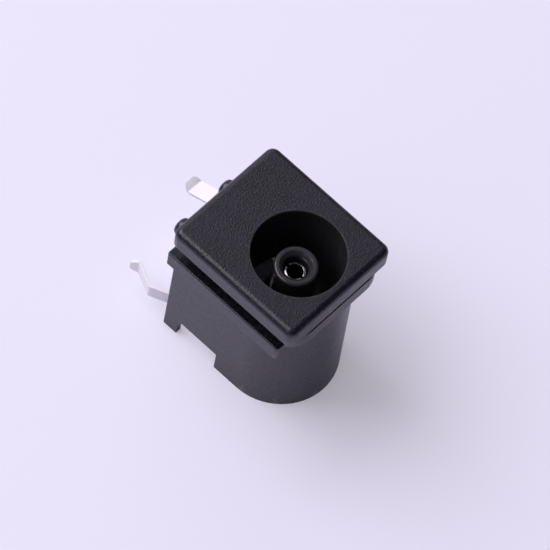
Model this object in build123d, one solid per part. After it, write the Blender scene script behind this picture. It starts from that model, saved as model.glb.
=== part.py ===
from build123d import *
from math import sqrt
import os

# Right-angle DC barrel jack for a printed circuit board, standing on its rear end.
# +Z runs along the plug axis and out of the mouth, and +Y points at the board.
# The origin is on the plug axis, in the plane of the rear end. All sizes are in millimetres.

# Flange round the mouth
face_width = 9.2
flange_set_back = 0.13
flange_far_reach = 3.82
flange_thickness = 1.55
flange_corner_radius = 0.6
flange_edge_radius = 0.45

# Grooves in the sides behind the flange, and the rib that closes them
rib_set_in = 0.1
groove_width = 1.68
groove_depth_side = 1.05
groove_depth_board = 0.5
groove_far_reach = 3.05
rib_thickness = 1.32
rib_far_reach = 2.85
rib_corner_radius = 0.3
rib_board_corner_radius = 0.15
rib_edge_radius = 0.1
board_seat = 6.75

# Shoulder behind the flange on the far side, and the thin slot that parts them
shoulder_thickness = 1.2
shoulder_corner_radius = 1.9
shoulder_straight = 0.04
slot_width = 0.16
slot_depth = 0.35

# Barrel and side walls
overall_length = 13.0
barrel_rear_radius = 4.0
barrel_front_radius = 3.85
wall_set_back = 0.25
wall_thickness = 0.85
notch_height = 1.65
notch_far_edge = 2.0
foot_length = 1.1

# Bore and the insulating tube inside it
bore_radius = 3.05
bore_lead_in = 0.06
pocket_depth = 1.8
floor_thickness = 1.4
bore_wall = 0.7
tube_radius = 1.45
tube_recess = 1.55
tube_edge_radius = 0.18
tube_lead_in = 0.26
tube_hole_radius = 0.85

# Locating pegs on the board side
peg_radius = 0.65
peg_spacing = 4.05
peg_length = 1.28
peg_rise = 0.3
peg_lead_in = 0.35
peg_pad_margin = 0.04

# Strip metal and the kinked terminals
strip_thickness = 0.2
terminal_width = 1.2
terminal_length = 3.47
terminal_nose_radius = 0.5
kink_start = 0.1
kink_crest = 1.3
kink_trough = 2.92
kink_out = 0.52
kink_back = 0.23
tip_lift = 0.04
strip_bend_radius = 0.22
seat_clearance = 0.03

# Centre contact
socket_bore_radius = 0.55
socket_wall = 0.13
socket_recess = 0.8
socket_slit_width = 0.22
socket_slit_depth = 4.2
tail_pad_radius = 1.0
tail_offset = 1.3

# Sleeve spring
spring_terminal_offset = 1.3
spring_terminal_drop = 1.0
spring_width = 3.0
spring_root_set_back = 1.1
spring_root_straight = 0.5
spring_root_lap = 0.6
spring_intrusion = 0.58
spring_knee_rise = 0.3
spring_touch_rise = 0.95
spring_end_rise = 0.05
window_clearance = 0.25
window_sill = 0.4
window_head = 2.4
window_leaf_clearance = 0.45

# Switch contact
switch_plate_bite = 0.4
switch_terminal_rise = 0.42
switch_arm_reach = 0.2
switch_arm_rise = 0.8
switch_arm_height = 0.75
switch_arm_gap = 0.2
switch_plate_set_back = 0.3

# Places worked out from the sizes above
flange_board_reach = board_seat - flange_set_back
wall_board_reach = board_seat - wall_set_back
flange_back = overall_length - flange_thickness
rib_width = face_width - 2 * rib_set_in
rib_front = flange_back - groove_width
rib_back = rib_front - rib_thickness
slot_back = flange_back - slot_width
shoulder_back = slot_back - shoulder_thickness
floor_back = pocket_depth
bore_floor = floor_back + floor_thickness
tube_front = overall_length - tube_recess
socket_front = tube_front - socket_recess
socket_radius = socket_bore_radius + socket_wall
inner_width = 2 * (barrel_rear_radius - wall_thickness)
bore_tube_radius = bore_radius + bore_wall
spring_terminal_height = rib_back - spring_terminal_drop
chamber_roof = spring_terminal_height + strip_thickness / 2
tail_height = floor_back - strip_thickness / 2
arm_centre_reach = bore_tube_radius + switch_arm_gap + strip_thickness / 2
spring_free_reach = arm_centre_reach + strip_thickness
spring_root_reach = bore_tube_radius + spring_root_set_back
spring_touch_reach = bore_radius - spring_intrusion
spring_touch_middle = spring_touch_reach + strip_thickness / 2
spring_bend_reach = spring_root_reach - spring_root_straight
switch_arm_low = floor_back + switch_arm_rise
switch_arm_high = switch_arm_low + switch_arm_height
spring_free_height = switch_arm_low + spring_end_rise
spring_knee_height = switch_arm_high + spring_knee_rise
spring_touch_height = spring_knee_height + spring_touch_rise
switch_plate_offset = inner_width / 2 + switch_plate_bite - strip_thickness / 2
switch_terminal_height = floor_back + switch_terminal_rise
spring_centre = spring_terminal_offset + terminal_width / 2 - spring_width / 2


def block(x_low, x_high, y_low, y_high, z_low, z_high):
    """A box between two corners."""
    centre = ((x_low + x_high) / 2, (y_low + y_high) / 2, (z_low + z_high) / 2)
    return Pos(*centre) * Box(x_high - x_low, y_high - y_low, z_high - z_low)


def cylinder(radius, z_low, z_high):
    """A cylinder on the plug axis between two heights."""
    return Pos(0, 0, (z_low + z_high) / 2) * Cylinder(radius, z_high - z_low)


def barrel_outline(radius, board_reach, height):
    """A half round on the far side that runs into two straight walls."""
    half_round = Circle(radius)
    walls = Pos(0, board_reach / 2) * Rectangle(2 * radius, board_reach)
    return Pos(0, 0, height) * (half_round + walls)


def plate(width, far_reach, board_reach, far_radius, board_radius, z_low, z_high):
    """A flat plate round the plug axis, with one corner radius on each of its two sides."""
    outline = Rectangle(width, far_reach + board_reach)
    outline = fillet(outline.vertices().group_by(Axis.Y)[0], far_radius)
    outline = fillet(outline.vertices().group_by(Axis.Y)[-1], board_radius)
    outline = Pos(0, (board_reach - far_reach) / 2, z_low) * outline
    return extrude(outline, z_high - z_low)


def flange():
    """The square face plate, with its front edges rounded all the way round."""
    body = plate(face_width, flange_far_reach, flange_board_reach, flange_corner_radius,
                 flange_corner_radius, flange_back, overall_length)
    front_edges = body.faces().sort_by(Axis.Z)[-1].edges()
    return fillet(front_edges, flange_edge_radius)


def rib():
    """The plate behind the grooves, whose board side is the seat on the board."""
    body = plate(rib_width, rib_far_reach, board_seat, rib_corner_radius, rib_board_corner_radius,
                 rib_back, rib_front)
    front_edges = body.faces().sort_by(Axis.Z)[-1].edges()
    return fillet(front_edges, rib_edge_radius)


def shoulder():
    """The round-cornered plate just behind the flange, of which only the far side is left."""
    radius = min(shoulder_corner_radius, (barrel_front_radius - shoulder_straight) / 2)
    return plate(rib_width, barrel_front_radius, 0, radius, radius, shoulder_back, flange_back)


def outer_body():
    """Barrel, walls and shoulder in one form, with the grooves and the slot cut into it."""
    rear = barrel_outline(barrel_rear_radius, wall_board_reach, 0)
    front = barrel_outline(barrel_front_radius, wall_board_reach, flange_back)
    body = loft([rear, front]) + shoulder()
    neck = rib_width / 2 - groove_depth_side
    for side in (-1, 1):
        low, high = sorted((side * neck, side * face_width))
        body = body - block(low, high, -groove_far_reach, 2 * board_seat, rib_front, flange_back)
    slot_floor = slot_depth - barrel_front_radius
    body = body - block(-face_width, face_width, -face_width, slot_floor, slot_back, flange_back)
    neck_reach = flange_board_reach - groove_depth_board
    return body - block(-face_width, face_width, neck_reach, 2 * board_seat, rib_front, flange_back)


def rear_pocket():
    """The open rear end: what is left behind the floor inside the walls."""
    outline = barrel_outline(inner_width / 2, 2 * board_seat, 0)
    return extrude(outline, floor_back)


def contact_chamber():
    """The space between the side walls, outside the tube that holds the bore."""
    space = block(-inner_width / 2, inner_width / 2, 0, 2 * board_seat, floor_back, chamber_roof)
    return space - cylinder(bore_tube_radius, 0, overall_length)


def spring_window():
    """The opening in the bore's wall that the leaf reaches through, high enough to let it out again."""
    half = spring_width / 2 + window_clearance
    low = bore_floor + window_sill
    climb = spring_terminal_height - spring_touch_height
    share = (bore_tube_radius - spring_touch_middle) / (spring_bend_reach - spring_touch_middle)
    leaf_leaves = spring_touch_height + share * climb
    high = max(spring_touch_height + window_head, leaf_leaves + window_leaf_clearance)
    return block(spring_centre - half, spring_centre + half, 0, bore_tube_radius + 1, low, high)


def switch_slot():
    """The slot in the side wall that the switch contact's plate slides into from the rear."""
    outer = -switch_plate_offset - strip_thickness / 2
    near = arm_centre_reach - strip_thickness / 2 - seat_clearance
    inner = -inner_width / 2 + strip_thickness
    high = switch_arm_high + seat_clearance
    return block(outer, inner, near, 2 * board_seat, -1, high)


def side_notches():
    """The cut-outs at the rear that leave a small foot at the end of each side wall."""
    foot_edge = wall_board_reach - foot_length
    return block(-face_width, face_width, notch_far_edge, foot_edge, -1, notch_height)


def insulating_tube():
    """The tube that stands up from the bore's floor and carries the centre contact."""
    tube = cylinder(tube_radius, bore_floor - floor_thickness / 2, tube_front)
    rim = tube.edges().filter_by(GeomType.CIRCLE).sort_by(Axis.Z)[-1]
    return fillet(rim, tube_edge_radius)


def tube_funnel():
    """The flared start of the hole in the tube."""
    wide = tube_hole_radius + tube_lead_in
    funnel = Cone(tube_hole_radius, wide, tube_lead_in)
    return Pos(0, 0, tube_front - tube_lead_in / 2) * funnel


def locating_peg(x):
    """One peg on the seat, with a rounded lead-in at its tip."""
    height = rib_back + peg_rise
    peg = Rot(-90, 0, 0) * Cylinder(peg_radius, peg_length + 1)
    peg = Pos(x, board_seat + (peg_length - 1) / 2, height) * peg
    tip = peg.edges().filter_by(GeomType.CIRCLE).sort_by(Axis.Y)[-1]
    return fillet(tip, peg_lead_in)


def peg_pad():
    """The low pad below the rib that carries the lower sides of both pegs."""
    half = peg_spacing / 2 + peg_radius + peg_pad_margin
    low = rib_back + peg_rise - peg_radius - peg_pad_margin
    return block(-half, half, wall_board_reach - peg_radius, board_seat, low, rib_back + peg_rise)


def make_housing():
    """The housing: one moulding."""
    body = outer_body() + flange() + rib()
    body = body - cylinder(bore_radius, bore_floor, overall_length + 1)
    body = body - rear_pocket() - contact_chamber() - side_notches()
    body = body - spring_window() - switch_slot()
    mouth = body.edges().filter_by(GeomType.CIRCLE).sort_by(Axis.Z)
    mouth = [edge for edge in mouth if abs(edge.radius - bore_radius) < 1e-6][-1]
    body = chamfer(mouth, bore_lead_in)
    body = body + insulating_tube()
    body = body - cylinder(tube_hole_radius, -1, overall_length) - tube_funnel()
    body = body + peg_pad()
    for x in (-peg_spacing / 2, peg_spacing / 2):
        body = body + locating_peg(x)
    return body


def strip(points, plane, width, bend_radius):
    """Strip metal bent along a line of points, seen edge-on in a plane, with rounded bends."""
    path = FilletPolyline(*points, radius=bend_radius)
    profile = trace(path, line_width=strip_thickness)
    profile = plane * profile
    return extrude(profile, width / 2, both=True)


def terminal_points(root):
    """A terminal's course from inside the housing to its tip: along the board axis, and outward."""
    tip = terminal_length
    return [
        (root, 0),
        (board_seat + kink_start, 0),
        (board_seat + kink_crest, kink_out),
        (board_seat + kink_trough, -kink_back),
        (board_seat + tip, tip_lift),
    ]


def rounded_nose(x, height, flat):
    """What rounds the corners of a terminal's tip, seen on its flat side."""
    length = terminal_length + board_seat
    outline = Rectangle(terminal_width, length)
    outline = fillet(outline.vertices().group_by(Axis.Y)[-1], terminal_nose_radius)
    body = extrude(Pos(0, length / 2) * outline, terminal_width * 2, both=True)
    turn = Rot(0, 0, 0) if flat else Rot(0, 90, 0)
    return Pos(x, 0, height) * turn * body


def make_centre_contact():
    """A rolled socket inside the insulating tube, with a tail that runs out to the board."""
    socket = cylinder(socket_radius, floor_back, socket_front)
    socket = socket - cylinder(socket_bore_radius, floor_back, overall_length)
    slit_floor = socket_front - socket_slit_depth
    half = socket_slit_width / 2
    socket = socket - block(-half, half, -tube_radius, tube_radius, slit_floor, overall_length)
    pad = cylinder(tail_pad_radius, floor_back - strip_thickness, floor_back)
    side = Plane(origin=(tail_offset, 0, tail_height), x_dir=(0, 1, 0), z_dir=(1, 0, 0))
    tail = strip(terminal_points(0), side, terminal_width, strip_bend_radius)
    tail = tail & rounded_nose(tail_offset, tail_height, True)
    bridge = block(0, tail_offset + terminal_width / 2, -tail_pad_radius / 2, tail_pad_radius,
                   floor_back - strip_thickness, floor_back)
    return socket + pad + bridge + tail


def make_sleeve_spring():
    """A leaf that presses on the plug's sleeve, with its terminal at the front of the chamber."""
    side = Plane(origin=(spring_terminal_offset, 0, spring_terminal_height),
                 x_dir=(0, 1, 0), z_dir=(1, 0, 0))
    terminal = strip(terminal_points(spring_root_reach), side, terminal_width, strip_bend_radius)
    terminal = terminal & rounded_nose(spring_terminal_offset, spring_terminal_height, True)
    course = [
        (spring_root_reach + spring_root_lap, spring_terminal_height),
        (spring_bend_reach, spring_terminal_height),
        (spring_touch_middle, spring_touch_height),
        (spring_free_reach, spring_knee_height),
        (spring_free_reach, spring_free_height),
    ]
    middle = Plane(origin=(spring_centre, 0, 0), x_dir=(0, 1, 0), z_dir=(1, 0, 0))
    leaf = strip(course, middle, spring_width, 2 * strip_bend_radius)
    return terminal + leaf


def make_switch_contact():
    """A plate in the side wall's slot, with an arm that the leaf rests on with no plug in."""
    top = Plane(origin=(-switch_plate_offset, 0, switch_terminal_height),
                x_dir=(0, 1, 0), z_dir=(0, 0, 1))
    root = arm_centre_reach
    terminal = strip(terminal_points(root), top, terminal_width, strip_bend_radius)
    terminal = terminal & rounded_nose(-switch_plate_offset, switch_terminal_height, False)
    low = switch_terminal_height - terminal_width / 2
    outer = -switch_plate_offset - strip_thickness / 2
    inner = -switch_plate_offset + strip_thickness / 2
    plate_end = wall_board_reach - switch_plate_set_back
    near = arm_centre_reach - strip_thickness / 2
    plate_body = block(outer, inner, near, plate_end, low, switch_arm_high)
    arm = block(outer, switch_arm_reach, near, near + strip_thickness,
                switch_arm_low, switch_arm_high)
    return terminal + plate_body + arm


def main():
    """Write one file for each piece."""
    os.makedirs("parts", exist_ok=True)
    pieces = {
        "housing": make_housing(),
        "centre_contact": make_centre_contact(),
        "sleeve_spring": make_sleeve_spring(),
        "switch_contact": make_switch_contact(),
    }
    for name, piece in pieces.items():
        export_step(piece, f"parts/{name}.step")


main()
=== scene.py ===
"""The DC barrel jack, dressed for the photograph: moulded black housing and tinned contacts."""
import logging
import math
from dataclasses import dataclass
from enum import Enum
from typing import Any

import bmesh
import bpy
from mathutils import Matrix, Vector


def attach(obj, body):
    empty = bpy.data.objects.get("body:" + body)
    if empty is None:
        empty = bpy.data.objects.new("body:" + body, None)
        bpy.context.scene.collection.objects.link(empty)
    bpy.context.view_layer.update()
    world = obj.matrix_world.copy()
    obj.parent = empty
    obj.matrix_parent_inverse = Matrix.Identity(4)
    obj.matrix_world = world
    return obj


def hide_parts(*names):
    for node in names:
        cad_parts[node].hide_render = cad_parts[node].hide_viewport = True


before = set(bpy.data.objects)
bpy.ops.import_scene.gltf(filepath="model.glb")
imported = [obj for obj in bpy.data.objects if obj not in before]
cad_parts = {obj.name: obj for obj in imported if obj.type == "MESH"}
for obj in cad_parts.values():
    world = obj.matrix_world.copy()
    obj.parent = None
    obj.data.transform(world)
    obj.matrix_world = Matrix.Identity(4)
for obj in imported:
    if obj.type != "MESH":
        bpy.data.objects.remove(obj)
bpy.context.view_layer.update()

MM = 0.001
PHOTO_SIDE = 550
SENSOR_WIDTH = 36.0
NOISE_MIDDLE = 0.5
ACROSS_PLUG = (1, 1, 0)
# The Mix node's colour sockets, by number because their names repeat for each data type.
MIX_FACTOR, MIX_OFF, MIX_ON, MIX_RESULT = 0, 6, 7, 2

logging.basicConfig(level=logging.INFO, format="%(message)s")
log = logging.getLogger("barrel_jack")

Colour = tuple[float, float, float]


class Slot(Enum):
    """The record's material slots."""

    PLASTIC = "black_plastic"
    METAL = "tinned_brass"


class Ray(Enum):
    """The kinds of ray that see the table's pale background."""

    CAMERA = "Is Camera Ray"
    GLOSSY = "Is Glossy Ray"
    TRANSMISSION = "Is Transmission Ray"


@dataclass(frozen=True)
class Pattern:
    """A noise pattern: feature size in millimetres, octaves, and the values its patches span."""

    size: float
    detail: float
    roughness: float = 0.55
    low: float = 0.3
    high: float = 0.7


class Socket:
    """Wraps a shader socket so that maths on it reads as plain expressions."""

    def __init__(self, shader: "Shader", link: Any) -> None:
        """Keep the shader that owns the socket and the socket itself."""
        self.shader = shader
        self.link = link

    def _math(self, operation: str, *values: "Socket | float") -> "Socket":
        """Add one Math node.

        Args:
            operation: The Math node's operation.
            values: Numbers or sockets, in the node's order.

        Returns:
            The node's result.
        """
        inputs = dict(enumerate(values))
        return self.shader.node("ShaderNodeMath", {"operation": operation}, inputs)

    def __add__(self, other: "Socket | float") -> "Socket":
        """Add."""
        return self._math("ADD", self, other)

    def __radd__(self, other: "Socket | float") -> "Socket":
        """Add, reflected."""
        return self._math("ADD", other, self)

    def __sub__(self, other: "Socket | float") -> "Socket":
        """Subtract."""
        return self._math("SUBTRACT", self, other)

    def __rsub__(self, other: "Socket | float") -> "Socket":
        """Subtract, reflected."""
        return self._math("SUBTRACT", other, self)

    def __mul__(self, other: "Socket | float") -> "Socket":
        """Multiply."""
        return self._math("MULTIPLY", self, other)

    def __rmul__(self, other: "Socket | float") -> "Socket":
        """Multiply, reflected."""
        return self._math("MULTIPLY", other, self)

    def above(self, low: float, high: float) -> "Socket":
        """A smooth step from 0 at the low value to 1 at the high value.

        Args:
            low: Where the step starts.
            high: Where the step ends.

        Returns:
            The step.
        """
        settings = {"interpolation_type": "SMOOTHSTEP"}
        inputs = {"Value": self, "From Min": low, "From Max": high}
        return self.shader.node("ShaderNodeMapRange", settings, inputs)

    def between(self, off: "Socket | float", on: "Socket | float") -> "Socket":
        """The value that a mask chooses.

        Args:
            off: The value where the mask is 0.
            on: The value where the mask is 1.

        Returns:
            The chosen value.
        """
        return off + self * (on - off)


class Shader:
    """Builds one node material."""

    def __init__(self, name: str) -> None:
        """Start an empty material.

        Args:
            name: The material's name.
        """
        self.material = bpy.data.materials.new(name)
        self.material.use_nodes = True
        self.tree = self.material.node_tree
        self.tree.nodes.clear()

    def node(self, kind: str, settings: dict[str, Any], inputs: dict[Any, Any],
             output: int | str = 0) -> Socket:
        """Add a node with its settings first and its inputs after them.

        Args:
            kind: The node's type.
            settings: Attributes of the node, such as a Math node's operation.
            inputs: Values or sockets by input name or number.
            output: The name or number of the output that is wanted.

        Returns:
            The wanted output.
        """
        made = self.tree.nodes.new(kind)
        for key, value in settings.items():
            setattr(made, key, value)
        for key, value in inputs.items():
            if isinstance(value, Socket):
                self.tree.links.new(value.link, made.inputs[key])
            else:
                made.inputs[key].default_value = value
        return Socket(self, made.outputs[output])

    def place(self) -> Socket:
        """The point on the piece in its own coordinates."""
        return self.node("ShaderNodeTexCoord", {}, {}, "Object")

    def along(self, axis: str) -> Socket:
        """How far along one axis the point lies, in metres."""
        return self.node("ShaderNodeSeparateXYZ", {}, {0: self.place()}, axis)

    def from_plug_axis(self) -> Socket:
        """How far from the plug axis the point lies, in metres.

        Returns:
            The distance.
        """
        inputs = {0: self.place(), 1: ACROSS_PLUG}
        across = self.node("ShaderNodeVectorMath", {"operation": "MULTIPLY"}, inputs)
        return self.node("ShaderNodeVectorMath", {"operation": "LENGTH"}, {0: across}, "Value")

    def noise(self, pattern: Pattern) -> Socket:
        """Noise that stays with the piece.

        Args:
            pattern: The noise's size and detail.

        Returns:
            The noise, about 0.5 on average.
        """
        return self.node("ShaderNodeTexNoise", {}, {
            "Vector": self.place(),
            "Scale": 1 / (pattern.size * MM),
            "Detail": pattern.detail,
            "Roughness": pattern.roughness,
        })

    def mix(self, mask: Socket, off: Colour | Socket, on: Colour | Socket) -> Socket:
        """Mix two colours.

        Args:
            mask: 0 gives the first colour and 1 the second.
            off: The first colour.
            on: The second colour.

        Returns:
            The mixed colour.
        """
        first, second = (c if isinstance(c, Socket) else (*c, 1) for c in (off, on))
        inputs = {MIX_FACTOR: mask, MIX_OFF: first, MIX_ON: second}
        return self.node("ShaderNodeMix", {"data_type": "RGBA"}, inputs, MIX_RESULT)

    def bump(self, height: Socket, depth: float) -> Socket:
        """Turn a height into a normal.

        Args:
            height: The height, from 0 to 1.
            depth: Millimetres from a height of 0 to a height of 1.

        Returns:
            The normal.
        """
        return self.node("ShaderNodeBump", {}, {"Height": height, "Distance": depth * MM})

    def close(self, surface: Socket) -> bpy.types.Material:
        """Link a surface to the material's output.

        Args:
            surface: The surface.

        Returns:
            The finished material.
        """
        out = self.tree.nodes.new("ShaderNodeOutputMaterial")
        self.tree.links.new(surface.link, out.inputs["Surface"])
        return self.material


@dataclass(frozen=True)
class MouldedPlastic:
    """Black moulded plastic with a fine spark-eroded grain. Lengths are in millimetres."""

    name: str = "moulded_black"
    dark: Colour = (0.0030, 0.0030, 0.0070)
    light: Colour = (0.0060, 0.0060, 0.0120)
    cloudy: Colour = (0.015, 0.014, 0.020)
    speck: Colour = (0.075, 0.073, 0.082)
    # Painted light: the bore is coloured lighter than the moulding so that it looks lit inside.
    bore_painted_light: Colour = (0.028, 0.027, 0.028)
    blotch: Pattern = Pattern(size=1.6, detail=4.0)
    clouds: Pattern = Pattern(size=0.35, detail=3.0, roughness=0.6, low=0.42, high=0.68)
    specks: Pattern = Pattern(size=0.10, detail=1.0, roughness=0.5, low=0.60, high=0.78)
    grain: Pattern = Pattern(size=0.13, detail=2.0, roughness=0.6)
    grain_depth: float = 0.025
    side_grain: float = 0.4
    side_specks: float = 0.3
    face_height: float = 12.5
    face_fade: float = 0.4
    cored_radius: float = 3.15
    cored_fade: float = 0.05
    face_roughness: float = 0.325
    side_roughness: float = 0.27
    cored_roughness: float = 0.22
    blotch_roughness: float = 0.12
    grain_roughness: float = 0.1
    ior: float = 1.52

    def build(self) -> bpy.types.Material:
        """Build the material.

        Returns:
            The material.
        """
        shader = Shader(self.name)
        face_start = self.face_height - self.face_fade
        on_face = shader.along("Z").above(face_start * MM, self.face_height * MM)
        cored_end = self.cored_radius + self.cored_fade
        outside = shader.from_plug_axis().above(self.cored_radius * MM, cored_end * MM)
        blotch = shader.noise(self.blotch)
        grain = shader.noise(self.grain)
        return shader.close(shader.node("ShaderNodeBsdfPrincipled", {}, {
            "Base Color": self.colour(shader, blotch, on_face, outside),
            "Roughness": self.gloss(blotch, grain, on_face, outside),
            "Normal": shader.bump(grain * on_face.between(self.side_grain, 1), self.grain_depth),
            "IOR": self.ior,
        }))

    def colour(self, shader: Shader, blotch: Socket, on_face: Socket, outside: Socket) -> Socket:
        """Colour the moulding, with clouds on its sides, specks, and painted light in the bore:
        the bore is coloured lighter so that it looks lit inside.

        Args:
            shader: The shader to build in.
            blotch: The coarse noise.
            on_face: 1 on the front face.
            outside: 0 in the bore and 1 outside it.

        Returns:
            The colour.
        """
        clouds = shader.noise(self.clouds).above(self.clouds.low, self.clouds.high)
        specks = shader.noise(self.specks).above(self.specks.low, self.specks.high)
        shade = blotch.above(self.blotch.low, self.blotch.high)
        colour = shader.mix(shade, self.dark, self.light)
        colour = shader.mix(clouds * (1 - on_face), colour, self.cloudy)
        colour = shader.mix(specks * on_face.between(self.side_specks, 1), colour, self.speck)
        # Painted light in the bore, where the mask is 0.
        return shader.mix(outside, self.bore_painted_light, colour)

    def gloss(self, blotch: Socket, grain: Socket, on_face: Socket, outside: Socket) -> Socket:
        """Make the moulding's gloss uneven.

        Args:
            blotch: The coarse noise.
            grain: The fine noise.
            on_face: 1 on the front face.
            outside: 0 in the bore and 1 outside it.

        Returns:
            The roughness.
        """
        base = on_face.between(self.side_roughness, self.face_roughness)
        base = outside.between(self.cored_roughness, base)
        uneven = self.blotch_roughness * (blotch - NOISE_MIDDLE)
        return base + uneven + self.grain_roughness * (grain - NOISE_MIDDLE)


@dataclass(frozen=True)
class TinPlate:
    """Bright tin over stamped brass, coloured darker inside the housing as painted shade.
    Lengths are in millimetres.
    """

    name: str = "tin_plate"
    bright: Colour = (0.97, 0.945, 0.94)
    dull: Colour = (0.94, 0.915, 0.915)
    # Painted shade: the metal inside the housing is coloured darker to stand in for the shade
    # there.
    covered_painted_shade: Colour = (0.30, 0.29, 0.28)
    cloud: Pattern = Pattern(size=0.5, detail=4.0)
    grain: Pattern = Pattern(size=0.06, detail=2.0)
    grain_depth: float = 0.003
    cover_starts: float = 5.9
    cover_ends: float = 6.4
    roughness: float = 0.55
    covered_roughness: float = 0.20
    cloud_roughness: float = 0.16
    plated_metallic: float = 0.05
    covered_metallic: float = 1.0

    def build(self) -> bpy.types.Material:
        """Build the material.

        Returns:
            The material.
        """
        shader = Shader(self.name)
        outside = shader.along("Y").above(self.cover_starts * MM, self.cover_ends * MM)
        cloud = shader.noise(self.cloud)
        shade = cloud.above(self.cloud.low, self.cloud.high)
        colour = shader.mix(shade, self.dull, self.bright)
        rough = outside.between(self.covered_roughness, self.roughness)
        return shader.close(shader.node("ShaderNodeBsdfPrincipled", {}, {
            # Painted shade on the metal inside the housing, where the mask is 0.
            "Base Color": shader.mix(outside, self.covered_painted_shade, colour),
            "Metallic": outside.between(self.covered_metallic, self.plated_metallic),
            "Roughness": rough + self.cloud_roughness * (cloud - NOISE_MIDDLE),
            "Normal": shader.bump(shader.noise(self.grain), self.grain_depth),
        }))


@dataclass
class SolidPiece:
    """A rigid piece with the solid's own shape, its corners broken and its curves smooth.

    Lengths are in millimetres and angles in degrees.
    """

    node: str
    name: str
    slot: Slot
    edge_radius: float = 0.04
    edge_segments: int = 2
    sharp_angle: float = 30.0
    crease_angle: float = 50.0
    flat_angle: float = 0.6
    merge_distance: float = 0.0005

    @staticmethod
    def turns(edge: bmesh.types.BMEdge, angle: float) -> bool:
        """Whether the two faces at an edge meet at more than the angle."""
        return edge.is_manifold and edge.calc_face_angle(0) > math.radians(angle)

    def shape(self) -> bpy.types.Mesh:
        """Copy the solid's mesh, join its triangles and break its corners.

        Returns:
            The mesh.
        """
        form = bmesh.new()
        form.from_mesh(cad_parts[self.node].data)
        bmesh.ops.remove_doubles(form, verts=form.verts, dist=self.merge_distance * MM)
        bmesh.ops.dissolve_limit(
            form, angle_limit=math.radians(self.flat_angle), verts=form.verts, edges=form.edges,
        )
        bmesh.ops.bevel(
            form, geom=[edge for edge in form.edges if self.turns(edge, self.sharp_angle)],
            offset=self.edge_radius * MM, offset_type="OFFSET", affect="EDGES",
            segments=self.edge_segments, profile=0.5, material=-1, clamp_overlap=True,
        )
        for face in form.faces:
            face.smooth = True
        for edge in form.edges:
            edge.smooth = not self.turns(edge, self.crease_angle)
        mesh = bpy.data.meshes.new(self.name)
        form.to_mesh(mesh)
        form.free()
        return mesh

    def build(self, finish: bpy.types.Material) -> bpy.types.Object:
        """Build the piece in place of its node.

        Args:
            finish: The piece's material.

        Returns:
            The piece.
        """
        piece = bpy.data.objects.new(self.name, self.shape())
        piece.data.materials.append(finish)
        bpy.context.scene.collection.objects.link(piece)
        level = piece.modifiers.new("level_shading", "WEIGHTED_NORMAL")
        level.keep_sharp = True
        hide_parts(self.node)
        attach(piece, "root")
        return piece


def towards(azimuth: float, elevation: float) -> Vector:
    """The direction from the jack to a viewpoint, in the degrees that the views use.

    Args:
        azimuth: Degrees round from -Y.
        elevation: Degrees above the table.

    Returns:
        The direction.
    """
    az, el = math.radians(azimuth), math.radians(elevation)
    return Vector((math.sin(az) * math.cos(el), -math.cos(az) * math.cos(el), math.sin(el)))


@dataclass(frozen=True)
class Lamp:
    """A square soft lamp that points at the jack, in degrees, metres and watts."""

    name: str
    azimuth: float
    elevation: float
    distance: float
    side: float
    power: float
    colour: Colour

    def hang(self) -> None:
        """Hang the lamp."""
        data = bpy.data.lights.new(self.name, "AREA")
        data.shape = "SQUARE"
        data.size = self.side
        data.energy = self.power
        data.color = self.colour
        back = towards(self.azimuth, self.elevation)
        turn = back.to_track_quat("Z", "Y").to_matrix().to_4x4()
        lamp = bpy.data.objects.new(self.name, data)
        lamp.matrix_world = Matrix.Translation(back * self.distance) @ turn
        bpy.context.scene.collection.objects.link(lamp)


@dataclass(frozen=True)
class Camera:
    """The camera at the photograph's viewpoint, in degrees and millimetres."""

    azimuth: float = -56.705
    elevation: float = 61.42
    roll: float = 11.729
    pixels_per_mm: float = 15.761
    distance: float = 371.0
    look_height: float = 7.0
    shift_right: float = 0.9114
    shift_down: float = 1.4803
    clip_start: float = 10.0
    clip_end: float = 10000.0

    def stand(self) -> None:
        """Stand the camera in the studio and make it the scene's own."""
        az, roll = math.radians(self.azimuth), math.radians(self.roll)
        back = towards(self.azimuth, self.elevation)
        level = Vector((math.cos(az), math.sin(az), 0))
        rise = back.cross(level)
        right = math.cos(roll) * level + math.sin(roll) * rise
        up = math.cos(roll) * rise - math.sin(roll) * level
        spot = Vector((0, 0, self.look_height)) + self.distance * back
        spot += self.shift_down * up - self.shift_right * right
        data = bpy.data.cameras.new("camera")
        data.sensor_width = SENSOR_WIDTH
        data.lens = self.pixels_per_mm * self.distance * SENSOR_WIDTH / PHOTO_SIDE
        data.clip_start = self.clip_start * MM
        data.clip_end = self.clip_end * MM
        camera = bpy.data.objects.new("camera", data)
        turn = Matrix((right, up, back)).transposed().to_4x4()
        camera.matrix_world = Matrix.Translation(spot * MM) @ turn
        bpy.context.scene.collection.objects.link(camera)
        bpy.context.scene.camera = camera


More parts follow.
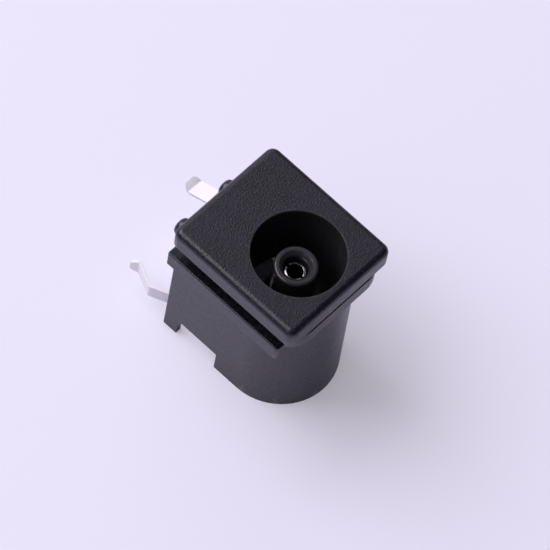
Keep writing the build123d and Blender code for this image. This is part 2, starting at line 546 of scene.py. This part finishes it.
@dataclass(frozen=True)
class Studio:
    """Pale table, soft lamps and even room light. Lengths are in metres."""

    table_reach: float = 0.6
    table_colour: Colour = (0.90, 0.865, 1.0)
    glow_colour: Colour = (0.97, 0.94, 1.0)
    glow_strength: float = 1.07
    camera_glow: float = 0.30
    mirror_glow: float = 0.10
    room_colour: Colour = (0.66, 0.62, 1.0)
    room_strength: float = 0.11
    lamps: tuple[Lamp, ...] = (
        Lamp("key", azimuth=-160, elevation=52, distance=0.6, side=0.5, power=3.2,
             colour=(0.91, 0.875, 1.0)),
        Lamp("rear_panel", azimuth=155, elevation=32, distance=0.8, side=1.0, power=2.4,
             colour=(0.955, 0.935, 1.0)),
        Lamp("left_panel", azimuth=-110, elevation=50, distance=0.8, side=0.6, power=0.70,
             colour=(0.93, 0.90, 1.0)),
        Lamp("near_panel", azimuth=-62, elevation=58, distance=0.8, side=0.6, power=0.12,
             colour=(0.93, 0.90, 1.0)),
    )

    def table_top(self) -> bpy.types.Material:
        """Make the table's pale top, which glows a little for the rays that see it.

        Returns:
            The material.
        """
        shader = Shader("table")
        lit = shader.node("ShaderNodeBsdfDiffuse", {}, {"Color": (*self.table_colour, 1)})
        glow = shader.node("ShaderNodeEmission", {}, {
            "Color": (*self.glow_colour, 1),
            "Strength": self.glow_strength,
        })
        seen = {ray: shader.node("ShaderNodeLightPath", {}, {}, ray.value) for ray in Ray}
        mirrored = seen[Ray.GLOSSY] + seen[Ray.TRANSMISSION]
        share = seen[Ray.CAMERA] * self.camera_glow + mirrored * self.mirror_glow
        return shader.close(shader.node("ShaderNodeMixShader", {}, {0: share, 1: lit, 2: glow}))

    def table(self) -> None:
        """Lay the pale table that the jack stands on."""
        form = bmesh.new()
        bmesh.ops.create_grid(form, x_segments=1, y_segments=1, size=self.table_reach)
        mesh = bpy.data.meshes.new("table")
        form.to_mesh(mesh)
        form.free()
        mesh.materials.append(self.table_top())
        table = bpy.data.objects.new("table", mesh)
        bpy.context.scene.collection.objects.link(table)

    def room(self) -> None:
        """Fill the room with even light."""
        world = bpy.data.worlds.new("room")
        world.use_nodes = True
        bpy.context.scene.world = world
        background = world.node_tree.nodes["Background"]
        background.inputs["Color"].default_value = (*self.room_colour, 1)
        background.inputs["Strength"].default_value = self.room_strength

    def build(self) -> None:
        """Build the table, the lamps and the room."""
        self.table()
        for lamp in self.lamps:
            lamp.hang()
        self.room()


def main() -> None:
    """Build the jack and the studio."""
    plastic = MouldedPlastic().build()
    tin = TinPlate().build()
    # The leaf's painted shade inside the housing is only a little darker than its plate.
    leaf_tin = TinPlate(
        "leaf_tin", covered_painted_shade=(0.80, 0.78, 0.76), covered_roughness=0.45, covered_metallic=0.2,
    ).build()
    for part, finish in (
        (SolidPiece("housing", "moulding", Slot.PLASTIC), plastic),
        (SolidPiece("centre_contact", "socket", Slot.METAL, edge_radius=0.03), tin),
        (SolidPiece("sleeve_spring", "leaf", Slot.METAL, edge_radius=0.02), leaf_tin),
        (SolidPiece("switch_contact", "switch_plate", Slot.METAL, edge_radius=0.02), tin),
    ):
        piece = part.build(finish)
        log.info("%s: %d faces", piece.name, len(piece.data.polygons))
    Camera().stand()
    Studio().build()
    scene = bpy.context.scene
    scene.view_settings.view_transform = "Standard"


if __name__ == "__main__":
    main()
